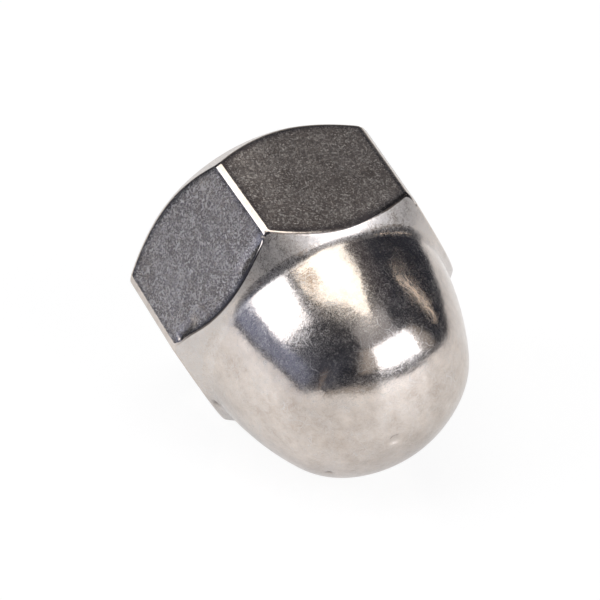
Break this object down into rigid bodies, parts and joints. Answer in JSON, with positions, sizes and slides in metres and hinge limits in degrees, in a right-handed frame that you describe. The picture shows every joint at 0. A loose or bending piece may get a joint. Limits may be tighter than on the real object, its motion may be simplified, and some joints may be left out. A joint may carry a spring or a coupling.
{
  "type": "cap nut",
  "caption": "High domed cap nut: a chamfered hexagon with rounded corners and a closed, smoothly rounded crown over a blind threaded hole.",
  "frame": {"origin": "centre of the bearing face, on the thread axis", "axes": "+Z along the thread axis from the bearing face towards the top of the crown; +X through one corner of the hexagon; +Y square to one pair of flats"},
  "size_m": [0.0184, 0.016, 0.0177],
  "materials": {
    "tumbled_stainless": "barrel-tumbled stainless steel: polished crown, finely pitted forged flats"
  },
  "bodies": {
    "root": {"cap_nut": "tumbled_stainless"}
  },
  "joints": []
}
